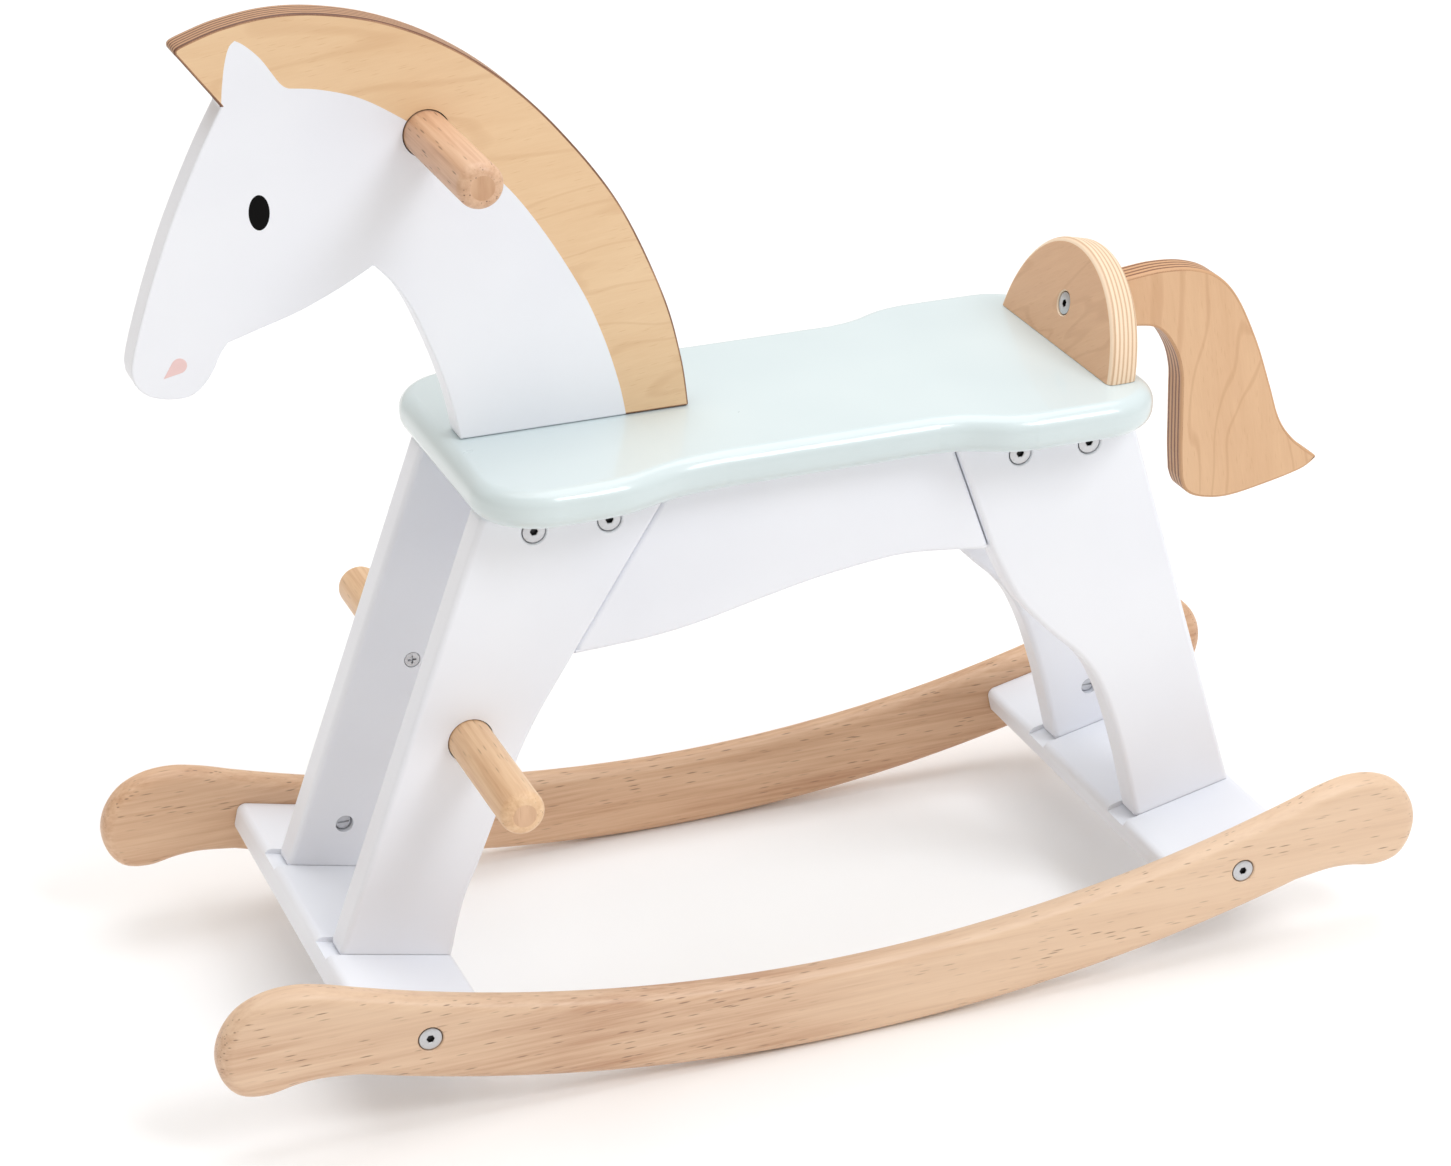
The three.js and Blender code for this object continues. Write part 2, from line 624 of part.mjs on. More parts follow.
const tailFace = backPoint(TAIL_BOLT_UP, BOARD / 2 + GAP);
const insertStart = tailFace.clone().addScaledVector(BACK_OUT, 0.5);
const tailBody = upright(tailShape(), BOARD, 1.5, 1, 0);
add('tail', cut(tailBody, [
  along(rod(INSERT.radius + GAP, -8, INSERT.long + 1.5, ROUND), insertStart, BACK_OUT),
]), 'ply');
const sleeve = turned([
  [BOLT / 2 + GAP, 0], [INSERT.radius, 0], [INSERT.radius, INSERT.long],
  [BOLT / 2 + GAP, INSERT.long], [BOLT / 2 + GAP, 0],
], ROUND);
add('tail_insert', along(sleeve, insertStart, BACK_OUT), 'steel');
add('tail_bolt', along(boltBody(TAIL_BOLT_LONG), tailBolt.start, tailBolt.dir), 'steel');

// ---------------------------------------------------------------- fasteners
for (const b of legBolts) {
  add(`bolt_leg_${b.name}`, along(boltBody(LEG_BOLT_LONG), b.start, b.dir), 'steel');
  add(`nut_leg_${b.name}`, barrelBody(Y).translate(...at(b, b.nutAt)), 'steel');
}
for (const b of footBolts) {
  add(`bolt_foot_${b.name}`, along(boltBody(FOOT_BOLT_LONG), b.start, b.dir), 'steel');
  const nut = at(b, b.nutAt);
  const outward = new THREE.Vector3(0, b.side, 0);
  const local = b.dir.clone();
  const turnBack = new THREE.Quaternion();
  turnBack.setFromUnitVectors(outward, UP);
  local.applyQuaternion(turnBack);
  add(`nut_foot_${b.name}`, along(barrelBody(local), nut, outward), 'steel');
}
for (const b of railBolts) {
  add(`bolt_rocker_${b.name}`, along(boltBody(RAIL_BOLT_LONG), b.start, b.dir), 'steel');
  const up = plankUp(ENDS[b.endName]);
  add(`nut_rocker_${b.name}`, along(barrelBody(Y), at(b, b.nutAt), up), 'steel');
}
headScrews.forEach((s, i) => {
  add(`head_screw_${i + 1}`, along(screwBody(HEAD_SCREW_LONG), s, UP), 'steel');
});
backScrews.forEach((s, i) => {
  add(`backrest_screw_${i + 1}`, along(screwBody(BACK_SCREW_LONG), s, UP), 'steel');
});
add('seat_screw', along(screwBody(SEAT_SCREW_LONG), seatScrew, UP), 'steel');

export default horse;
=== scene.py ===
"""Rocking horse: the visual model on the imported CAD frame. Metres, +Z up, head toward -X."""
import math
import bpy
import bmesh
from mathutils import Matrix, Vector


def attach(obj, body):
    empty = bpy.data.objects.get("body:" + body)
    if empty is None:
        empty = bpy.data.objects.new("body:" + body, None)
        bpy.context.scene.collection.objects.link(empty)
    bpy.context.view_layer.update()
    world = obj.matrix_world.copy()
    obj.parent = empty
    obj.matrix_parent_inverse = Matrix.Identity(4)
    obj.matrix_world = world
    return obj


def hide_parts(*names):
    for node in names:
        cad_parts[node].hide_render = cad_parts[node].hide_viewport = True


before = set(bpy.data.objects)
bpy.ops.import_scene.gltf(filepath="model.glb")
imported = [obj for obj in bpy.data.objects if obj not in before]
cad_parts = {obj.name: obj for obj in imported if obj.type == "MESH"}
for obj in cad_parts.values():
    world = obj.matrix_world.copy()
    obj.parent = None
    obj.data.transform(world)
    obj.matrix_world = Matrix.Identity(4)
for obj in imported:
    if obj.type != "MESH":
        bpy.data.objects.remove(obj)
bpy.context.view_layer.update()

MM = 0.001
scene = bpy.context.scene

# ------------------------------------------------------------------ sizes (mm), as in the CAD
GAP = 0.3
LENGTH, SPAN, BOARD, LEG_BOARD, LEG_FACE = 726, 286, 18, 20, 64
SEAT_TOP, SEAT_BOARD, DOWEL = 343, 22, 25
ROCKER_DEPTH, FLOOR_RADIUS, TOP_RADIUS, KNOB_LONG = 47.5, 1015, 940, 78
PLANK_WIDTH, PLANK_TILT, PLANK_X, PLANK_LIFT, GROOVE = 76, math.radians(12.7), 247, 1.5, 3
BAR_THICK = 26
BAR_X = {"front": -133.5, "rear": 154.5}
BOLT_PITCH, BOLT, HEAD, HEAD_THICK, RECESS = 43, 6, 13, 2.4, 0.4
SOCKET, SCREW, SCREW_HEAD = 4, 5, 9
BARREL, BARREL_LONG, NUT_SINK = 10, BOARD - 4, 8
LEAN, BACK_FOOT, BACK_HIGH, BACK_WIDE, BACK_DROP = math.radians(13.2), 192.2, 60, 143, 14
HANDLE_X, HANDLE_UP, HANDLE_REACH = -190, 174.7, 103
REST_X, REST_Z, REST_REACH, REST_SOCKET = -194.5, 189.4, 92, 8
SEAT_FRONT, SEAT_REAR, SEAT_WIDE, SEAT_WAIST, SEAT_CORNER = -190, 212, 98, 82, 38
APRON_SET = 2.5          # the apron face lies this far behind the leg face
TAIL_BOLT_UP = 23        # height of the tail bolt up the backrest
# rounding of the edges; the rockers, seat, head, aprons and tail differ a little from the CAD
ROCKER_ROUND, PLANK_ROUND, PLANK_CORNER, LEG_ROUND, APRON_ROUND = 7.6, 0.6, 5, 3.5, 3
SEAT_ROUND, HEAD_ROUND, BACK_ROUND, TAIL_ROUND = 9.5, 1.2, 4, 1.6
DOWEL_ROUND = 6
# free space around a rod in its hole, as drawn here
SOCKET_SLACK, HANDLE_SLACK = 0.6, 0.7
SEAT_BOTTOM = SEAT_TOP - SEAT_BOARD
LEG_TOP = SEAT_BOTTOM - GAP
BAR_Z = SEAT_BOTTOM - GAP - BAR_THICK / 2
LEG_MID = LEG_FACE - LEG_BOARD / 2
LEG_INNER = LEG_FACE - LEG_BOARD
ON_SEAT = SEAT_TOP + GAP
APRON_MID = LEG_FACE - APRON_SET - BOARD / 2
HANDLE_Z = ON_SEAT + HANDLE_UP


def rocker_low(x):
    """Height of the arc under the rockers."""
    return FLOOR_RADIUS - math.sqrt(FLOOR_RADIUS ** 2 - x * x)


def rocker_high(x):
    """Height of the arc along the top of the rockers."""
    return ROCKER_DEPTH + TOP_RADIUS - math.sqrt(TOP_RADIUS ** 2 - x * x)


PLANK_Z = (rocker_low(PLANK_X) + rocker_high(PLANK_X)) / 2 + PLANK_LIFT
SIDES = {"near": -1, "far": 1}
ENDS = {"front": -1, "rear": 1}


# ------------------------------------------------------------------ shader helpers
class Nodes:
    """A small builder for one material's nodes."""

    def __init__(self, name, roughness=0.5, metallic=0.0, coat=0.0, coat_rough=0.1, specular=0.5):
        self.mat = bpy.data.materials.new(name)
        self.mat.use_nodes = True
        self.tree = self.mat.node_tree
        self.bsdf = self.tree.nodes["Principled BSDF"]
        self.bsdf.inputs["Roughness"].default_value = roughness
        self.bsdf.inputs["Metallic"].default_value = metallic
        self.bsdf.inputs["Coat Weight"].default_value = coat
        self.bsdf.inputs["Coat Roughness"].default_value = coat_rough
        self.bsdf.inputs["Specular IOR Level"].default_value = specular
        self.coords = self.tree.nodes.new("ShaderNodeTexCoord").outputs["Object"]

    def put(self, socket, value):
        if isinstance(value, bpy.types.NodeSocket):
            self.tree.links.new(value, socket)
        else:
            socket.default_value = value

    def scaled(self, sx, sy, sz, turn=(0, 0, 0), vector=None):
        n = self.tree.nodes.new("ShaderNodeMapping")
        self.put(n.inputs["Vector"], vector or self.coords)
        n.inputs["Scale"].default_value = (sx, sy, sz)
        n.inputs["Rotation"].default_value = turn
        return n.outputs["Vector"]

    def noise(self, vector, detail=3.0, rough=0.5, distort=0.0):
        n = self.tree.nodes.new("ShaderNodeTexNoise")
        self.put(n.inputs["Vector"], vector)
        n.inputs["Scale"].default_value = 1.0
        n.inputs["Detail"].default_value = detail
        n.inputs["Roughness"].default_value = rough
        n.inputs["Distortion"].default_value = distort
        return n.outputs["Fac"]

    def voronoi(self, vector):
        n = self.tree.nodes.new("ShaderNodeTexVoronoi")
        self.put(n.inputs["Vector"], vector)
        n.inputs["Scale"].default_value = 1.0
        return n.outputs["Distance"]

    def math(self, kind, a, b=0.0, c=0.0):
        n = self.tree.nodes.new("ShaderNodeMath")
        n.operation = kind
        for socket, value in zip(n.inputs, (a, b, c)):
            self.put(socket, value)
        return n.outputs[0]

    def axis(self, vector, name):
        n = self.tree.nodes.new("ShaderNodeSeparateXYZ")
        self.put(n.inputs[0], vector)
        return n.outputs[name]

    def ramp(self, fac, stops):
        n = self.tree.nodes.new("ShaderNodeValToRGB")
        self.put(n.inputs["Fac"], fac)
        ends = n.color_ramp.elements
        while len(ends) < len(stops):
            ends.new(0.5)
        for e, (pos, col) in zip(ends, stops):
            e.position = pos
            e.color = (*col, 1.0)
        return n.outputs["Color"]

    def mix(self, fac, a, b):
        n = self.tree.nodes.new("ShaderNodeMix")
        n.data_type = "RGBA"
        self.put(n.inputs["Factor"], fac)
        self.put(n.inputs["A"], (*a, 1.0) if isinstance(a, tuple) else a)
        self.put(n.inputs["B"], (*b, 1.0) if isinstance(b, tuple) else b)
        return n.outputs["Result"]

    def bump(self, height, distance, strength=1.0):
        n = self.tree.nodes.new("ShaderNodeBump")
        n.inputs["Strength"].default_value = strength
        n.inputs["Distance"].default_value = distance
        self.put(n.inputs["Height"], height)
        self.put(self.bsdf.inputs["Normal"], n.outputs["Normal"])

    def finish(self, color, roughness=None):
        self.put(self.bsdf.inputs["Base Color"], color)
        if roughness is not None:
            self.put(self.bsdf.inputs["Roughness"], roughness)
        return self.mat


def srgb(r, g, b):
    """Linear colour of an 8-bit display colour."""
    def f(c):
        c /= 255
        return c / 12.92 if c <= 0.04045 else ((c + 0.055) / 1.055) ** 2.4
    return (f(r), f(g), f(b))


def paint(name, base, shade, roughness=0.42, coat=0.0, coat_rough=0.08, specular=0.5):
    """Sprayed paint: faint wood print through it, orange peel, and a slightly worn sheen."""
    m = Nodes(name, roughness=roughness, coat=coat, coat_rough=coat_rough, specular=specular)
    broad = m.noise(m.scaled(7, 7, 7), detail=2)
    grain = m.noise(m.scaled(60, 60, 900), detail=2)
    peel = m.noise(m.scaled(420, 420, 420), detail=2)
    color = m.mix(m.ramp(broad, [(0.35, (0, 0, 0)), (0.75, (1, 1, 1))]), base, shade)
    rough = m.math("MULTIPLY_ADD", m.noise(m.scaled(35, 35, 35), detail=4), 0.12, roughness - 0.06)
    height = m.math("ADD", m.math("MULTIPLY", grain, 0.35), m.math("MULTIPLY", peel, 0.4))
    m.bump(height, 0.00008, 0.5)
    return m.finish(color, rough)


def veneer(name, light, mid, dark, turn, lines):
    """Rotary-cut face veneer: quiet figure, thin wandering growth lines, short fine flecks.

    The grain runs along Z, turned about Y by `turn`.
    """
    m = Nodes(name, roughness=0.42, coat=0.15, coat_rough=0.25)
    p = m.scaled(1, 1, 1, (0, turn, 0))
    broad = m.noise(m.scaled(11, 11, 3.2, vector=p), detail=2)
    figure = m.noise(m.scaled(120, 120, 14, vector=p), detail=4, rough=0.6, distort=0.3)
    fine = m.noise(m.scaled(1100, 1100, 70, vector=p), detail=3, rough=0.6)
    fac = m.math("MULTIPLY_ADD", broad, 0.45,
                 m.math("MULTIPLY_ADD", figure, 0.35, m.math("MULTIPLY", fine, 0.20)))
    color = m.ramp(fac, [(0.36, mid), (0.62, light)])
    drift = m.noise(m.scaled(9, 9, 2.6, vector=p), detail=3, distort=0.5)
    ring = m.math("SINE", m.math("MULTIPLY", drift, 85.0))
    rings = m.ramp(ring, [(0.80, (0, 0, 0)), (1.0, (1, 1, 1))])
    color = m.mix(m.math("MULTIPLY", rings, lines), color, dark)
    pore = m.voronoi(m.scaled(760, 760, 60, vector=p))
    pores = m.ramp(pore, [(0.08, (1, 1, 1)), (0.20, (0, 0, 0))])
    color = m.mix(m.math("MULTIPLY", pores, 0.30), color, dark)
    rough = m.math("MULTIPLY_ADD", figure, 0.18, 0.34)
    m.bump(m.math("SUBTRACT", fine, m.math("MULTIPLY", pores, 0.5)), 0.00010, 0.4)
    return m.finish(color, rough)


def ply_edge(name, light, dark, plies=9, contrast=1.0, glue=0.75):
    """Plywood edge: thin layers across the board's thickness, alternate ones end grain."""
    m = Nodes(name, roughness=0.5, coat=0.1, coat_rough=0.3)
    t = m.axis(m.coords, "Y")
    wob = m.math("MULTIPLY_ADD", m.noise(m.scaled(30, 30, 30), detail=2), 0.0008, -0.0004)
    t = m.math("ADD", t, wob)
    phase = m.math("MULTIPLY", t, math.pi * plies / (BOARD * MM))
    band = m.math("MULTIPLY_ADD", m.math("COSINE", phase), 0.5, 0.5)
    seam = m.ramp(band, [(0.0, (1, 1, 1)), (0.10, (0, 0, 0))])
    ends = m.noise(m.scaled(1500, 220, 1500), detail=2)
    layer = m.math("ADD", band, m.math("MULTIPLY_ADD", ends, 0.5 * contrast, -0.25 * contrast))
    color = m.ramp(layer, [(0.25, dark), (0.62, light)])
    color = m.mix(m.math("MULTIPLY", seam, glue), color, tuple(c * 0.30 for c in dark))
    m.bump(m.math("SUBTRACT", ends, seam), 0.00015, 0.5)
    return m.finish(color)


def timber(name, light, mid, dark, along="X", pores=0.75, tint=None):
    """Solid rubberwood: pale and tan stretches, soft streaks and short dark pores along the grain."""
    m = Nodes(name, roughness=0.45, coat=0.15, coat_rough=0.25)
    k = {"X": lambda a, b: (b, a, a), "Z": lambda a, b: (a, a, b)}[along]
    wide = m.noise(m.scaled(*k(16, 2.4)), detail=3, distort=0.8)
    figure = m.noise(m.scaled(*k(190, 7)), detail=4, rough=0.65, distort=0.2)
    streaks = m.noise(m.scaled(*k(520, 16)), detail=3, rough=0.6)
    fac = m.math("MULTIPLY_ADD", wide, 0.42,
                 m.math("MULTIPLY_ADD", figure, 0.33, m.math("MULTIPLY", streaks, 0.25)))
    color = m.ramp(fac, [(0.38, dark), (0.49, mid), (0.60, light)])
    if tint:
        area = m.noise(m.scaled(*k(7, 3.1)), detail=1)
        patch = m.ramp(area, [(0.42, (0, 0, 0)), (0.60, (1, 1, 1))])
        color = m.mix(m.math("MULTIPLY", patch, 0.55), color, tint)
    cell = m.voronoi(m.scaled(*k(470, 52)))
    thin = m.ramp(cell, [(0.10, (1, 1, 1)), (0.24, (0, 0, 0))])
    where = m.ramp(m.noise(m.scaled(*k(60, 14)), detail=2), [(0.36, (0, 0, 0)), (0.56, (1, 1, 1))])
    streak = m.math("MULTIPLY", m.math("MULTIPLY", thin, where), pores)
    color = m.mix(streak, color, tuple(c * 0.45 for c in dark))
    rough = m.math("MULTIPLY_ADD", figure, 0.2, 0.36)
    m.bump(m.math("SUBTRACT", m.math("MULTIPLY", figure, 0.4), streak), 0.0002, 0.5)
    return m.finish(color, rough)


def end_grain(name, light, dark):
    """Cut end of a rod: small dark dots on a softly varied tone."""
    m = Nodes(name, roughness=0.6)
    dots = m.ramp(m.voronoi(m.scaled(900, 60, 900)), [(0.15, (1, 1, 1)), (0.32, (0, 0, 0))])
    tone = m.noise(m.scaled(90, 20, 90), detail=3)
    color = m.mix(m.math("MULTIPLY", dots, 0.5), m.ramp(tone, [(0.35, dark), (0.65, light)]), dark)
    m.bump(dots, 0.0001, 0.4)
    return m.finish(color)


def steel(name, color=(0.62, 0.63, 0.65), roughness=0.32):
    """Plated steel with a faintly uneven sheen."""
    m = Nodes(name, roughness=roughness, metallic=1.0)
    n = m.noise(m.scaled(500, 500, 500), detail=3)
    tint = m.mix(n, color, tuple(c * 0.8 for c in color))
    rough = m.math("MULTIPLY_ADD", m.noise(m.scaled(150, 150, 150), detail=3), 0.25, roughness - 0.1)
    m.bump(n, 0.00005, 0.4)
    return m.finish(tint, rough)


WHITE = paint("white_paint", srgb(241, 244, 250), srgb(232, 235, 243))
SEAT_PAINT = paint("seat_paint", srgb(212, 225, 227), srgb(204, 218, 221),
                   roughness=0.3, coat=0.55, coat_rough=0.05)
MANE = veneer("mane_veneer", srgb(235, 203, 163), srgb(226, 190, 148), srgb(196, 148, 102),
              turn=math.radians(-82), lines=0.20)
MANE_EDGE = ply_edge("mane_ply", srgb(192, 148, 112), srgb(120, 78, 54), plies=11)
BACK_FACE = veneer("back_veneer", srgb(226, 184, 146), srgb(214, 168, 130), srgb(186, 136, 98),
                   turn=math.radians(-58), lines=0.22)
BACK_EDGE = ply_edge("back_ply", srgb(240, 216, 188), srgb(222, 188, 154), plies=13, contrast=0.6,
                     glue=0.35)
TAIL_FACE = veneer("tail_veneer", srgb(225, 186, 146), srgb(214, 172, 132), srgb(188, 138, 98),
                   turn=math.radians(10), lines=0.30)
TAIL_EDGE = ply_edge("tail_ply", srgb(206, 162, 122), srgb(150, 100, 68))
RUBBER = timber("rubberwood", srgb(228, 197, 168), srgb(214, 179, 149), srgb(190, 148, 118),
                tint=srgb(231, 202, 172))
# a darker copy of the rubberwood: painted shade for the far rocker
RUBBER_FAR_SHADED = timber("rubberwood_far_shaded", srgb(224, 188, 155), srgb(210, 170, 136), srgb(188, 142, 108))
HANDLE_WOOD = timber("handle_wood", srgb(222, 184, 152), srgb(206, 164, 132), srgb(178, 134, 104),
                     "Z", pores=1.0)
REST_WOOD = timber("footrest_wood", srgb(236, 202, 164), srgb(226, 188, 148), srgb(206, 162, 122),
                   "Z", pores=0.55)
DOWEL_CUT = end_grain("dowel_cut", srgb(222, 184, 150), srgb(196, 152, 118))
STEEL = steel("zinc_steel")
# near-black steel for the inside of the bolt sockets: painted shade in the recess
SOCKET_SHADE_STEEL = steel("socket_painted_shade", (0.06, 0.06, 0.065), 0.5)
BLACK = paint("eye_paint", (0.0015, 0.0015, 0.0016), (0.003, 0.003, 0.003),
              roughness=0.6, specular=0.1)
PINK = paint("nostril_paint", srgb(236, 204, 202), srgb(231, 197, 195), roughness=0.4)


# ------------------------------------------------------------------ outline helpers
def smooth(stations, count):
    """Points along a Catmull-Rom curve through the stations."""
    n = len(stations)
    out = []
    for i in range(count + 1):
        t = (n - 1) * i / count
        k = min(int(t), n - 2)
        w = t - k
        p = [stations[max(0, k - 1)], stations[k], stations[k + 1], stations[min(n - 1, k + 2)]]
        out.append(tuple(
            0.5 * (2 * b + (c - a) * w + (2 * a - 5 * b + 4 * c - d) * w * w
                   + (3 * b - 3 * c + d - a) * w ** 3)
            for a, b, c, d in zip(*p)))
    return out


def arc(cx, cy, rx, ry, start, stop, count):
    """Points along an ellipse from one angle to the other."""
    return [(cx + rx * math.cos(start + (stop - start) * i / count),
             cy + ry * math.sin(start + (stop - start) * i / count)) for i in range(count + 1)]


def outline(*runs):
    """One closed outline from several runs, dropping repeated points."""
    out = []
    for run in runs:
        for p in run:
            if not out or math.dist(out[-1], p) > 0.05:
                out.append(p)
    if math.dist(out[0], out[-1]) < 0.05:
        out.pop()
    return out


def link(name, mesh, mats, place=None):
    obj = bpy.data.objects.new(name, mesh)
    scene.collection.objects.link(obj)
    for m in mats:
        mesh.materials.append(m)
    if place is not None:
        obj.matrix_world = place
    return obj


def applied(obj, angle=32):
    """Apply the modifiers, then shade smoothly with creases over the angle."""
    deps = bpy.context.evaluated_depsgraph_get()
    mesh = bpy.data.meshes.new_from_object(obj.evaluated_get(deps))
    obj.modifiers.clear()
    obj.data = mesh
    for poly in mesh.polygons:
        poly.use_smooth = True
    mesh.set_sharp_from_angle(angle=math.radians(angle))
    mod = obj.modifiers.new("weighted", "WEIGHTED_NORMAL")
    mod.keep_sharp = True
    mod.weight = 60
    return obj


def board(name, regions, thick, y, edge, mats, tools=(), place=None, segments=5, angle=32):
    """A sheet in the XZ plane from one or more adjoining outlines, thickness along Y.

    regions is a list of (outline in mm, face material, edge material); outlines share
    their common border points, and only the outer border gets side faces and rounding.
    The rounded rims take the edge material.
    """
    bm = bmesh.new()
    index = {}

    def vert(p, side):
        key = (round(p[0], 2), round(p[1], 2), side)
        if key not in index:
            index[key] = bm.verts.new((p[0] * MM, (y + side * thick / 2) * MM, p[1] * MM))
        return index[key]

    border = {}
    for pts, face_mat, edge_mat in regions:
        area = sum(a[0] * b[1] - b[0] * a[1] for a, b in zip(pts, pts[1:] + pts[:1]))
        if area < 0:
            pts = pts[::-1]
        near = bm.faces.new([vert(p, -1) for p in pts])
        far = bm.faces.new([vert(p, 1) for p in reversed(pts)])
        near.material_index = far.material_index = face_mat
        for a, b in zip(pts, pts[1:] + pts[:1]):
            ka = (round(a[0], 2), round(a[1], 2))
            kb = (round(b[0], 2), round(b[1], 2))
            if (kb, ka) in border:
                del border[(kb, ka)]
            else:
                border[(ka, kb)] = (a, b, edge_mat)
    for a, b, edge_mat in border.values():
        f = bm.faces.new([vert(b, -1), vert(a, -1), vert(a, 1), vert(b, 1)])
        f.material_index = edge_mat
    bmesh.ops.recalc_face_normals(bm, faces=bm.faces)
    mesh = bpy.data.meshes.new(name)
    bm.to_mesh(mesh)
    bm.free()
    obj = link(name, mesh, mats, place)
    if edge > 0:
        bev = obj.modifiers.new("edge", "BEVEL")
        bev.width = edge * MM
        bev.segments = segments
        bev.limit_method = "ANGLE"
        bev.angle_limit = math.radians(50)
        bev.use_clamp_overlap = False
        bev.miter_outer = "MITER_SHARP"
    for t in tools:
        cutm = obj.modifiers.new("cut", "BOOLEAN")
        cutm.operation = "DIFFERENCE"
        cutm.solver = "EXACT"
        cutm.object = t
    bpy.context.view_layer.update()
    applied(obj, angle)
    rims = {face_mat: edge_mat for _, face_mat, edge_mat in regions}
    for poly in obj.data.polygons:
        if abs(poly.normal.y) < 0.985:
            poly.material_index = rims.get(poly.material_index, poly.material_index)
    return obj


def basis(direction):
    """Rotation that turns +Z to the direction."""
    return Vector((0, 0, 1)).rotation_difference(Vector(direction)).to_matrix().to_4x4()


def turned(name, stations, mats, start, direction, sides, hexes=(), mat_of=None):
    """Lathe piece from (radius, height) stations in mm; hexes lists stations drawn six-sided."""
    bm = bmesh.new()
    rings = []
    for i, (r, h) in enumerate(stations):
        if r < 1e-6:
            rings.append([bm.verts.new((0, 0, h * MM))])
            continue
        ring = []
        for k in range(sides):
            a = 2 * math.pi * k / sides
            rr = r
            if i in hexes:
                rr = r / math.cos((a % (math.pi / 3)) - math.pi / 6)
            ring.append(bm.verts.new((rr * math.cos(a) * MM, rr * math.sin(a) * MM, h * MM)))
        rings.append(ring)
    for i in range(len(rings) - 1):
        lo, hi = rings[i], rings[i + 1]
        for k in range(sides):
            n = (k + 1) % sides
            quad = [lo[k % len(lo)], lo[n % len(lo)], hi[n % len(hi)], hi[k % len(hi)]]
            seen = []
            for v in quad:
                if v not in seen:
                    seen.append(v)
            f = bm.faces.new(seen)
            f.material_index = mat_of[i] if mat_of else 0
    bmesh.ops.recalc_face_normals(bm, faces=bm.faces)
    mesh = bpy.data.meshes.new(name)
    bm.to_mesh(mesh)
    bm.free()
    for poly in mesh.polygons:
        poly.use_smooth = True
    mesh.set_sharp_from_angle(angle=math.radians(35))
    place = Matrix.Translation(Vector(start) * MM) @ basis(direction)
    return link(name, mesh, mats, place)


TOOLS = []


def drill(stations, start, direction, sides=40):
    """Turned cutting tool."""
    t = turned("tool", stations, [], start, direction, sides)
    TOOLS.append(t)
    return t


def bolt_hole(b, long):
    """Head recess with a small chamfer, then the shank hole."""
    r, s, floor = HEAD / 2 + 2 * GAP, BOLT / 2 + GAP, HEAD_THICK + 2 * GAP
    return drill([(0, -5), (r + 4.9, -5), (r, -0.1 + RECESS), (r, floor), (s, floor),
                  (s, long + 1.5), (0, long + 1.5)], b["start"], b["dir"])


def block(size, place):
    """Box used as a cutting tool."""
    bm = bmesh.new()
    bmesh.ops.create_cube(bm, size=1)
    bmesh.ops.scale(bm, vec=[s * MM for s in size], verts=bm.verts)
    mesh = bpy.data.meshes.new("tool")
    bm.to_mesh(mesh)
    bm.free()
    t = link("tool", mesh, [], place)
    TOOLS.append(t)
    return t


def keep(obj, slot, *nodes):
    """Lay the piece on the frame in place of its CAD nodes."""
    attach(obj, "root")
    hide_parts(*nodes)
    return obj


# ------------------------------------------------------------------ bolt layout
def on_plank(end, s, h):
    c, n = math.cos(PLANK_TILT), math.sin(PLANK_TILT)
    return (end * (PLANK_X + s * c - h * n), PLANK_Z + s * n + h * c)


def plank_up(end):
    return (-end * math.sin(PLANK_TILT), 0, math.cos(PLANK_TILT))


def plank_height(end, x, h):
    s = (end * x - PLANK_X + h * math.sin(PLANK_TILT)) / math.cos(PLANK_TILT)
    return PLANK_Z + s * math.sin(PLANK_TILT) + h * math.cos(PLANK_TILT)


LEG_BOLTS, FOOT_BOLTS, RAIL_BOLTS = [], [], []
for end_name, end in ENDS.items():
    for side_name, side in SIDES.items():
        for tag, shift in (("a", -BOLT_PITCH / 2), ("b", BOLT_PITCH / 2)):
            LEG_BOLTS.append({"name": f"{end_name}_{side_name}_{tag}", "end": end_name, "side": side,
                              "start": (BAR_X[end_name] + shift, side * (LEG_FACE - RECESS), BAR_Z),
                              "dir": (0, -side, 0)})
        fx, fz = on_plank(end, 0, -BOARD / 2 + RECESS)
        FOOT_BOLTS.append({"name": f"{end_name}_{side_name}", "end": end_name, "side": side,
                           "start": (fx, side * LEG_MID, fz), "dir": plank_up(end)})
        rx, rz = on_plank(end, 0, 0)
        RAIL_BOLTS.append({"name": f"{end_name}_{side_name}", "end": end_name, "side": side,
                           "start": (rx, side * (SPAN / 2 - RECESS), rz), "dir": (0, -side, 0)})
LEG_BOLT_LONG, FOOT_BOLT_LONG = LEG_BOARD + 26, BOARD + 32
RAIL_BOLT_LONG, TAIL_BOLT_LONG = BOARD + 34, BOARD + 15

# ------------------------------------------------------------------ rockers
def rocker_outline():
    tip = LENGTH / 2
    sweep = tip - KNOB_LONG
    b, t = rocker_low(sweep), rocker_high(sweep)
    knob = smooth([(sweep, b), (tip - 58, b + 2.6), (tip - 43, b + 2.2), (tip - 26, b - 0.6),
                   (tip - 11.5, b + 2.2), (tip - 3, b + 12), (tip, b + 26), (tip - 3.5, t - 11.1),
                   (tip - 13, t + 0.7), (tip - 28, t + 7.4), (tip - 45, t + 8.5), (tip - 62, t + 5.1),
                   (sweep, t)], 72)
    xs = [sweep * (i / 40 - 1) for i in range(81)]
    return outline([(x, rocker_low(x)) for x in xs], knob, [(-x, rocker_high(x)) for x in xs],
                   [(-x, z) for x, z in reversed(knob)])


for side_name, side in SIDES.items():
    holes = [bolt_hole(b, RAIL_BOLT_LONG) for b in RAIL_BOLTS if b["side"] == side]
    # the far rocker takes the darker rubberwood copy, which is painted shade
    rail = board(f"rocker_{side_name}_wood", [(rocker_outline(), 0, 0)], BOARD,
                 side * (SPAN / 2 - BOARD / 2), ROCKER_ROUND, [RUBBER if side < 0 else RUBBER_FAR_SHADED],
                 holes, segments=8)
    keep(rail, "rubberwood", f"rocker_{side_name}")

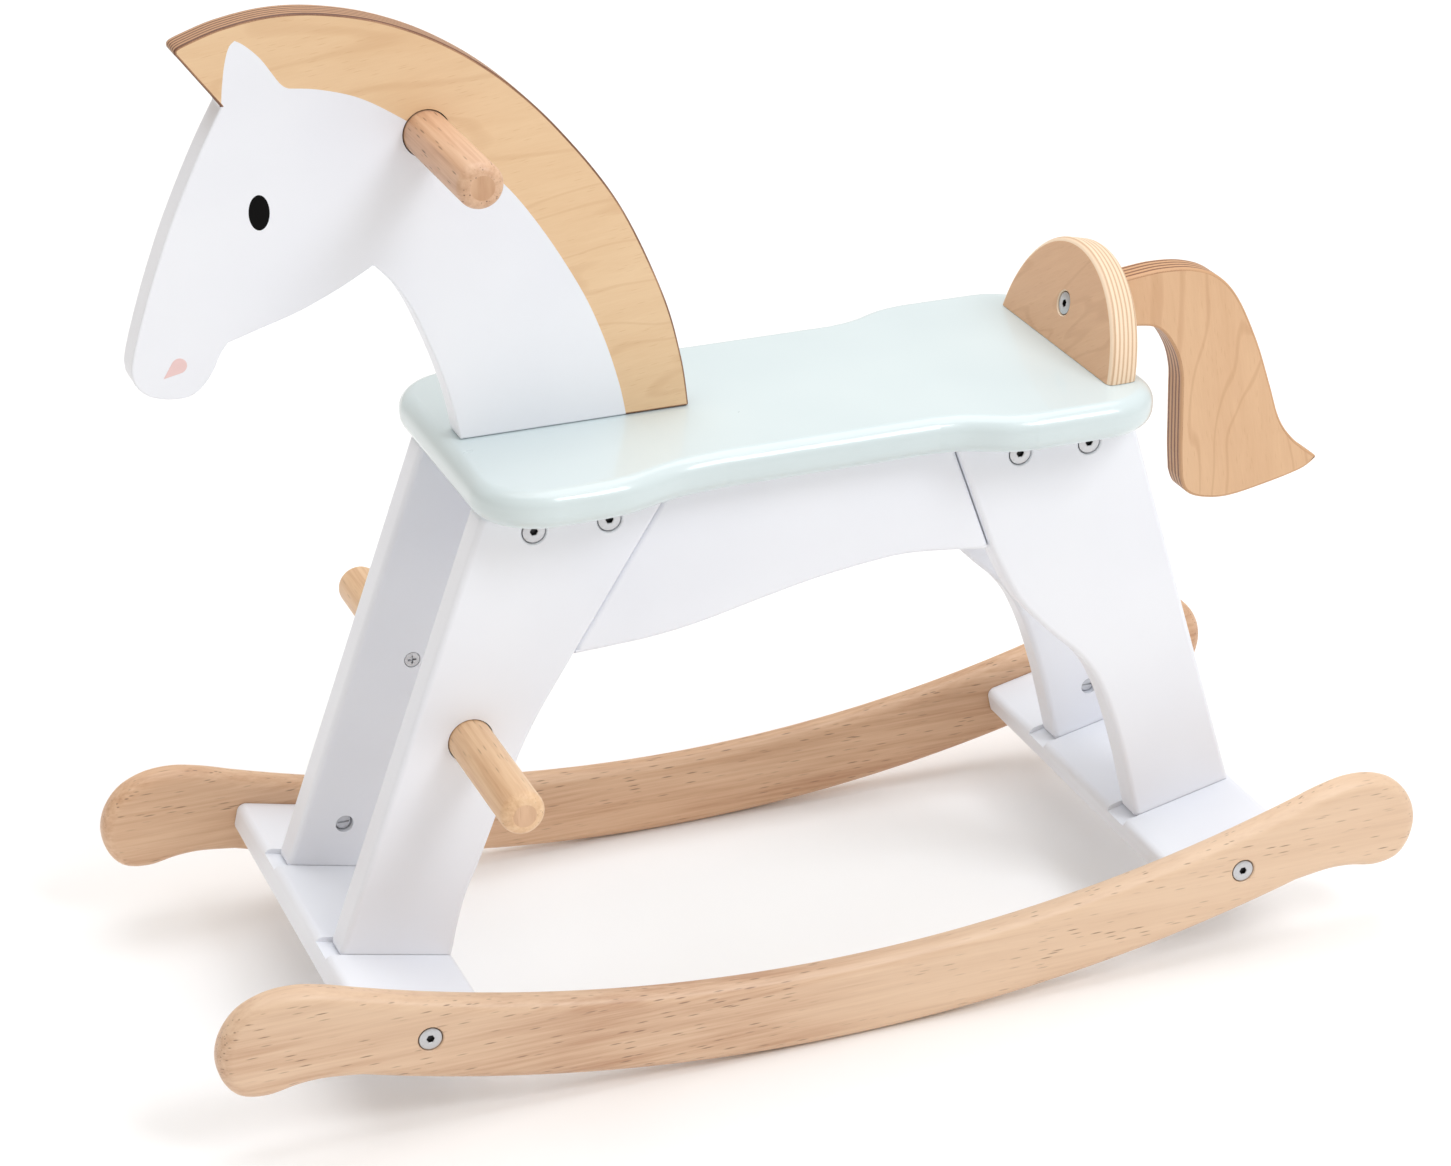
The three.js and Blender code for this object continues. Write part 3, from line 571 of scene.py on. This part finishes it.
# ------------------------------------------------------------------ base planks
for end_name, end in ENDS.items():
    w, t, r, q = PLANK_WIDTH / 2, BOARD / 2, PLANK_CORNER, math.pi / 2
    section = outline(arc(w - r, t - r, r, r, 0, q, 8), arc(r - w, t - r, r, r, q, 2 * q, 8),
                      arc(r - w, r - t, r, r, 2 * q, 3 * q, 8), arc(w - r, r - t, r, r, 3 * q, 4 * q, 8))
    place = (Matrix.Translation((end * PLANK_X * MM, 0, PLANK_Z * MM))
             @ Matrix.Rotation(-end * PLANK_TILT, 4, "Y"))
    cuts = [block((PLANK_WIDTH + 10, LEG_BOARD + 2 * GAP, 2 * GROOVE),
                  place @ Matrix.Translation((0, side * LEG_MID * MM, t * MM)))
            for side in SIDES.values()]
    cuts += [bolt_hole(b, FOOT_BOLT_LONG) for b in FOOT_BOLTS if b["end"] == end_name]
    plank = board(f"plank_{end_name}_painted", [(section, 0, 0)], 2 * (SPAN / 2 - BOARD - GAP), 0,
                  PLANK_ROUND, [WHITE], cuts, place=place, segments=2)
    keep(plank, "white_paint", f"base_plank_{end_name}")

# ------------------------------------------------------------------ legs and aprons
JOINT = {"front": ((-134.5, 229), (-75.5, LEG_TOP)), "rear": ((117.5, 250), (92, LEG_TOP))}
LEG_EDGE = {"front": (-PLANK_X - 27.5, -184), "rear": (PLANK_X + 33, 203.2)}   # foot and top
LEG_INSIDE = {"front": 37, "rear": 29}   # inner edge, short of the plank's middle
STAND = BOARD / 2 - GROOVE + GAP         # underside of the legs over mid plank
FOOT_NUT_UP = BOARD + 27                 # cross nut of a foot bolt over the plank's underside


def leg_outline(end_name):
    low, high = JOINT[end_name]
    foot, top = LEG_EDGE[end_name]

    def on(x):
        return (x, plank_height(ENDS[end_name], x, STAND))

    if end_name == "front":
        shin = smooth([on(LEG_INSIDE["front"] - PLANK_X), (-201.5, 89), (-191, 114), (-180.5, 140),
                       (-168.5, 170), (-155.5, 196), low], 48)
        return outline([on(foot)], shin, [high, (top, LEG_TOP)])
    thigh = smooth([low, (132.5, 220), (146, 202.5), (159.5, 188.5), (172.5, 176), (183.5, 162.5),
                    (191, 148.5), (198, 131), (205.5, 107), (211, 86),
                    on(PLANK_X - LEG_INSIDE["rear"])], 64)
    return outline([on(foot), (top, LEG_TOP), high], thigh)


for end_name, end in ENDS.items():
    for side_name, side in SIDES.items():
        name = f"{end_name}_{side_name}"
        cuts = [bolt_hole(b, LEG_BOLT_LONG) for b in LEG_BOLTS
                if b["end"] == end_name and b["side"] == side]
        up = Vector(plank_up(end))
        fx, fz = on_plank(end, 0, -BOARD / 2)
        nut = Vector((fx, side * LEG_MID, fz)) + up * FOOT_NUT_UP
        low, high, r = -BARREL_LONG / 2 - NUT_SINK, BARREL_LONG / 2 + 0.7, BARREL / 2 + GAP
        cuts.append(drill([(0, low), (r, low), (r, high), (0, high)], nut, (0, side, 0)))
        if end_name == "front":
            r = DOWEL / 2 + SOCKET_SLACK
            cuts.append(drill([(0, -REST_SOCKET), (r, -REST_SOCKET), (r, 5), (0, 5)],
                              (REST_X, side * LEG_FACE, REST_Z), (0, side, 0)))
            r, s = SCREW_HEAD / 2 + GAP, SCREW / 2 + GAP
            cuts.append(drill([(0, -5), (r, -5), (r, 0.7), (s, 3.2), (s, 30), (0, 30)],
                              (REST_X, side * (LEG_INNER + GAP), REST_Z), (0, side, 0)))
        leg = board(f"leg_{name}_painted", [(leg_outline(end_name), 0, 0)], LEG_BOARD,
                    side * LEG_MID, LEG_ROUND, [WHITE], cuts)
        keep(leg, "white_paint", f"leg_{name}")


def apron_outline():
    d = GAP * 1.2
    (fl, fh), (rl, rh) = JOINT["front"], JOINT["rear"]
    hem = smooth([(fl[0] + d, fl[1]), (-108, 230), (-84, 231.5), (-57, 235.5), (-23, 243),
                  (12, 250), (47, 254.5), (66, 255.5), (90, 253.5), (rl[0] - d, rl[1])], 70)
    return outline(hem, [(rh[0] - d, rh[1]), (fh[0] + d, fh[1])])


for side_name, side in SIDES.items():
    apron = board(f"apron_{side_name}_painted", [(apron_outline(), 0, 0)], BOARD,
                  side * APRON_MID, APRON_ROUND, [WHITE])
    keep(apron, "white_paint", f"apron_{side_name}")

# ------------------------------------------------------------------ seat
def seat_outline():
    front, rear, wide, waist = SEAT_FRONT, SEAT_REAR, SEAT_WIDE, SEAT_WAIST
    r, q = SEAT_CORNER, math.pi / 2
    left = (arc(front + r, wide - r, r, r, 2 * q, q, 16)
            + smooth([(-128, wide), (-108, wide - 2.5), (-78, waist + 3.5), (-50, waist)], 24)
            + smooth([(74, waist), (90, waist + 3.2), (111, wide - 3.2), (128, wide)], 20)
            + arc(rear - r, wide - r, r, r, q, 0, 16))
    return outline(left, [(x, -y) for x, y in reversed(left)])


lay_flat = (Matrix.Translation((0, 0, (SEAT_TOP - SEAT_BOARD / 2) * MM))
            @ Matrix.Rotation(math.pi / 2, 4, "X"))
seat = board("seat_painted", [(seat_outline(), 0, 0)], SEAT_BOARD, 0, SEAT_ROUND, [SEAT_PAINT],
             place=lay_flat, segments=9)
keep(seat, "seat_paint", "seat")

# ------------------------------------------------------------------ head
# distance along the horse and height over the seat
MANE_LINE = [(-45, 0), (-49, 29), (-59.5, 68), (-84, 122.5), (-117, 168), (-149, 200.5), (-181, 223),
             (-213, 237.5), (-244, 245), (-270, 246.5), (-295, 243), (-313, 237.5)]
BROW = [(-313, 237.5), (-319, 235), (-320.3, 232.2), (-317.5, 228.2), (-298, 202)]
FACE = [(-298, 202), (-309, 182.5), (-320, 160.5), (-330, 138.5), (-339, 115.5), (-346.5, 94),
        (-352.5, 74), (-354, 64), (-351.5, 56), (-345, 50), (-335, 47), (-324, 47.2),
        (-316.5, 52), (-310.5, 60), (-306.5, 68), (-302, 74)]
JAW = [(-302, 74), (-285, 79.2), (-263, 86), (-240, 96), (-221.5, 106)]
THROAT = [(-221.5, 106), (-211, 94), (-202, 79), (-194, 60), (-187, 40.5), (-181, 19), (-177.5, 0)]
EAR_FRONT = [(-298, 202), (-297, 212), (-295, 224), (-292.3, 232.5), (-289, 235.7)]
EAR_BACK = [(-289, 235.7), (-284, 232.5), (-276, 224.5), (-267, 211), (-262.5, 207.6)]
NECK = [(-262.5, 207.6), (-246, 205), (-225, 198), (-203, 184.5), (-176, 164.5), (-151, 144.5),
        (-129, 115.5), (-107, 77.5), (-94.5, 48), (-86, 20), (-82, 0)]


def over_seat(points):
    return [(x, ON_SEAT + h) for x, h in points]


ear = over_seat(smooth(EAR_FRONT, 14) + smooth(EAR_BACK, 24)[1:] + smooth(NECK, 80)[1:])
mane = outline(over_seat(smooth(MANE_LINE, 110)), over_seat(smooth(BROW, 24)), ear)
face = outline(over_seat(smooth(FACE, 90)), over_seat(smooth(JAW, 20)), over_seat(smooth(THROAT, 40)),
               list(reversed(ear)))
hole_radius = DOWEL / 2 + HANDLE_SLACK
handle_hole = drill([(0, -30), (hole_radius, -30), (hole_radius, 30), (0, 30)],
                    (HANDLE_X, 0, HANDLE_Z), (0, 1, 0), 56)
head = board("head_painted", [(mane, 0, 1), (face, 2, 2)], BOARD, 0, HEAD_ROUND,
             [MANE, MANE_EDGE, WHITE], [handle_hole], segments=3)
keep(head, "white_paint", "head_board")


def decal(name, pts, side, mat):
    """Paint laid on a cheek: a thin pad with a softly rounded rim."""
    lift = 0.12
    pad = board(name, [(pts, 0, 0)], 2 * lift, side * BOARD / 2, 0.1, [mat], segments=2)
    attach(pad, "root")


def teardrop(tip, centre, r):
    """Circle drawn out to a tip along its two tangents."""
    toward = math.atan2(tip[1] - centre[1], tip[0] - centre[0])
    open_by = math.acos(r / math.dist(tip, centre))
    return [tip] + arc(*centre, r, r, toward + open_by, toward + 2 * math.pi - open_by, 28)


eye = over_seat(arc(-281.5, 143.2, 5.6, 9.6, 0, 2 * math.pi, 48)[:-1])
nostril = over_seat(teardrop((-337.5, 59.2), (-328.8, 65.3), 4.2))
for side_name, side in SIDES.items():
    decal(f"eye_{side_name}", eye, side, BLACK)
    decal(f"nostril_{side_name}", nostril, side, PINK)


def dowel_stations(start, stop, both):
    """Rod from one height to the other; `both` rounds the first end too."""
    r, e = DOWEL / 2, DOWEL_ROUND

    def turn(h, d):
        angles = [i * math.pi / 16 for i in range(9)]
        return [(r - e + e * math.sin(a), h + d * e * (1 - math.cos(a))) for a in angles]

    first = turn(start, 1) if both else [(r - 0.6, start), (r, start + 0.6)]
    return [(0, start)] + first + list(reversed(turn(stop, -1))) + [(0, stop)]


def rod_piece(name, start, stop, both, at, direction, wood, node):
    st = dowel_stations(start, stop, both)
    mats = [1 if i in (0, len(st) - 2) else 0 for i in range(len(st) - 1)]
    ob = turned(name, st, [wood, DOWEL_CUT], at, direction, 64, mat_of=mats)
    keep(ob, "rubberwood", node)


rod_piece("handle_rod", -HANDLE_REACH, HANDLE_REACH, True, (HANDLE_X, 0, HANDLE_Z), (0, 1, 0),
          HANDLE_WOOD, "handle_dowel")
for side_name, side in SIDES.items():
    rod_piece(f"footrest_{side_name}_rod", GAP - REST_SOCKET, REST_REACH, False,
              (REST_X, side * LEG_FACE, REST_Z), (0, side, 0), REST_WOOD, f"footrest_{side_name}")

# ------------------------------------------------------------------ backrest and tail
BACK_OUT = Vector((math.cos(LEAN), 0, -math.sin(LEAN)))
BACK_UP = Vector((math.sin(LEAN), 0, math.cos(LEAN)))


def back_point(h, d):
    """Point at height h up the backrest and depth d through it, from its foot."""
    return Vector((BACK_FOOT, 0, SEAT_TOP)) + BACK_UP * h + BACK_OUT * d


TAIL_BOLT = {"start": back_point(TAIL_BOLT_UP, RECESS - BOARD / 2), "dir": BACK_OUT}
half = BACK_WIDE / 2
back_line = outline(arc(0, -BACK_DROP, half, BACK_HIGH + BACK_DROP, 0, math.pi, 96),
                    [(-half, -40), (half, -40)])
# local frame: X across the horse, Y through the board, Z up the board
stand = Matrix((
    (0, BACK_OUT.x, BACK_UP.x, BACK_FOOT * MM),
    (-1, 0, 0, 0),
    (0, BACK_OUT.z, BACK_UP.z, SEAT_TOP * MM),
    (0, 0, 0, 1)))
under = block((200, 300, 200), Matrix.Translation((BACK_FOOT * MM, 0, (ON_SEAT - 100) * MM)))
back = board("backrest_ply", [(back_line, 0, 1)], BOARD, 0, BACK_ROUND, [BACK_FACE, BACK_EDGE],
             [under, bolt_hole(TAIL_BOLT, TAIL_BOLT_LONG)], place=stand, segments=6)
keep(back, "plywood", "backrest")


def tail_outline():
    def root(h):
        p = back_point(h / math.cos(LEAN), BOARD / 2 + GAP)
        return (p.x, SEAT_TOP + h - 1)

    def after(points):
        return [(BACK_FOOT + x, SEAT_TOP + h) for x, h in points]

    top = smooth([root(36.5)] + after([
        (36.8, 38), (55.8, 39.5), (75.8, 37.5), (92.8, 30), (106.8, 14), (120.8, -15), (130.8, -43),
        (138.8, -66), (149.5, -81), (166, -94.5)]), 90)
    hem = smooth(after([(166, -94.5), (156, -101), (131, -107), (106, -110.8), (88, -108.5),
                        (78, -103), (74, -94)]), 40)
    inside = smooth(after([(74, -94), (72.6, -78), (72, -60), (71.4, -42), (70.6, -27), (66, -12),
                           (56, 2), (42, 6.6)]) + [root(8.5)], 60)
    return outline(top, hem, inside)


tail = board("tail_ply", [(tail_outline(), 0, 1)], BOARD, 0, TAIL_ROUND, [TAIL_FACE, TAIL_EDGE],
             segments=3)
keep(tail, "plywood", "tail")

# ------------------------------------------------------------------ fasteners
def bolt_piece(name, b, long, node):
    """Flat head bolt with a hexagon socket, its inside painted near-black as painted shade."""
    r, k = HEAD / 2, SOCKET / 2
    st = [(0, 2.1), (k, 2.1), (k, 0.25), (k + 0.35, 0), (r - 0.5, 0), (r - 0.1, 0.25), (r, 0.6),
          (r, HEAD_THICK), (BOLT / 2, HEAD_THICK), (BOLT / 2, long - 1), (BOLT / 2 - 1, long),
          (0, long)]
    # the socket floor and walls take the near-black painted shade
    mats = [1, 1] + [0] * (len(st) - 3)
    ob = turned(name, st, [STEEL, SOCKET_SHADE_STEEL], b["start"], b["dir"], 48, hexes=(1, 2, 3), mat_of=mats)
    keep(ob, "zinc_steel", node)


for b in LEG_BOLTS:
    bolt_piece(f"leg_bolt_{b['name']}", b, LEG_BOLT_LONG, f"bolt_leg_{b['name']}")
for b in FOOT_BOLTS:
    bolt_piece(f"foot_bolt_{b['name']}", b, FOOT_BOLT_LONG, f"bolt_foot_{b['name']}")
for b in RAIL_BOLTS:
    bolt_piece(f"rocker_bolt_{b['name']}", b, RAIL_BOLT_LONG, f"bolt_rocker_{b['name']}")
bolt_piece("backrest_bolt", TAIL_BOLT, TAIL_BOLT_LONG, "tail_bolt")

# the rest of the CAD stays, with real finishes
for name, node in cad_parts.items():
    if node.hide_render:
        continue
    node.data.materials.clear()
    node.data.materials.append(WHITE if name.startswith("crossbar") else STEEL)

for t in TOOLS:
    bpy.data.objects.remove(t)

# ------------------------------------------------------------------ floor, light, camera
FLOOR_HALF = 14
SKY_COLOR, SKY_STRENGTH = (1.0, 0.935, 0.86, 1), 0.60
CAMERA_AT = (-0.72244, -1.78673, 1.12297)
AZIMUTH, ELEVATION, ROLL = 21.4615, 25.0313, -0.1566     # degrees
SENSOR, LENS_PER_FRAME = 36, 3711.36 / 1451              # mm; focal length over frame width

FLOOR = Nodes("studio_floor", roughness=0.85, specular=0.2)
floor_tone = FLOOR.mix(FLOOR.noise(FLOOR.scaled(3, 3, 3)), srgb(253, 253, 253), srgb(251, 251, 251))
floor_mat = FLOOR.finish(floor_tone)
bm = bmesh.new()
bmesh.ops.create_grid(bm, x_segments=1, y_segments=1, size=FLOOR_HALF)
floor_mesh = bpy.data.meshes.new("floor")
bm.to_mesh(floor_mesh)
bm.free()
floor = link("floor", floor_mesh, [floor_mat])

world = bpy.data.worlds.new("studio")
scene.world = world
world.use_nodes = True
sky = world.node_tree.nodes["Background"]
sky.inputs["Color"].default_value = SKY_COLOR
sky.inputs["Strength"].default_value = SKY_STRENGTH


def lamp(name, at, target, size, power, color=(1, 1, 1)):
    """Area light at a point, turned to a target."""
    data = bpy.data.lights.new(name, "AREA")
    data.shape = "RECTANGLE"
    data.size, data.size_y = size
    data.energy = power
    data.color = color
    ob = bpy.data.objects.new(name, data)
    ob.location = at
    ob.rotation_euler = (Vector(target) - Vector(at)).to_track_quat("-Z", "Y").to_euler()
    scene.collection.objects.link(ob)
    return ob


lamp("overhead", (0.1, 0.3, 2.6), (0, 0, 0.2), (2.4, 2.4), 36, (0.95, 0.985, 1.04))
lamp("key_near", (1.2, -2.0, 2.6), (0, 0, 0.25), (1.2, 1.2), 36, (0.95, 0.985, 1.03))
# lights the floor behind the horse; kept out of the glossy paint
behind = lamp("behind", (0.9, 4.2, 1.9), (0.7, 3.4, 0.0), (5.0, 2.0), 55)
behind.visible_glossy = False

scene.view_settings.view_transform = "Standard"
scene.view_settings.look = "None"

azimuth, elevation, roll = math.radians(AZIMUTH), math.radians(ELEVATION), math.radians(ROLL)
ahead = Vector((math.sin(azimuth) * math.cos(elevation), math.cos(azimuth) * math.cos(elevation),
                -math.sin(elevation)))
flat = Vector((math.cos(azimuth), -math.sin(azimuth), 0))
upward = flat.cross(ahead)
right = flat * math.cos(roll) + upward * math.sin(roll)
upward = -flat * math.sin(roll) + upward * math.cos(roll)
cam_data = bpy.data.cameras.new("camera")
cam_data.sensor_width = SENSOR
cam_data.lens = SENSOR * LENS_PER_FRAME
cam_data.clip_end = 50
camera = bpy.data.objects.new("camera", cam_data)
scene.collection.objects.link(camera)
stand_at = Matrix((right, upward, -ahead)).transposed().to_4x4()
stand_at.translation = Vector(CAMERA_AT)
camera.matrix_world = stand_at
scene.camera = camera
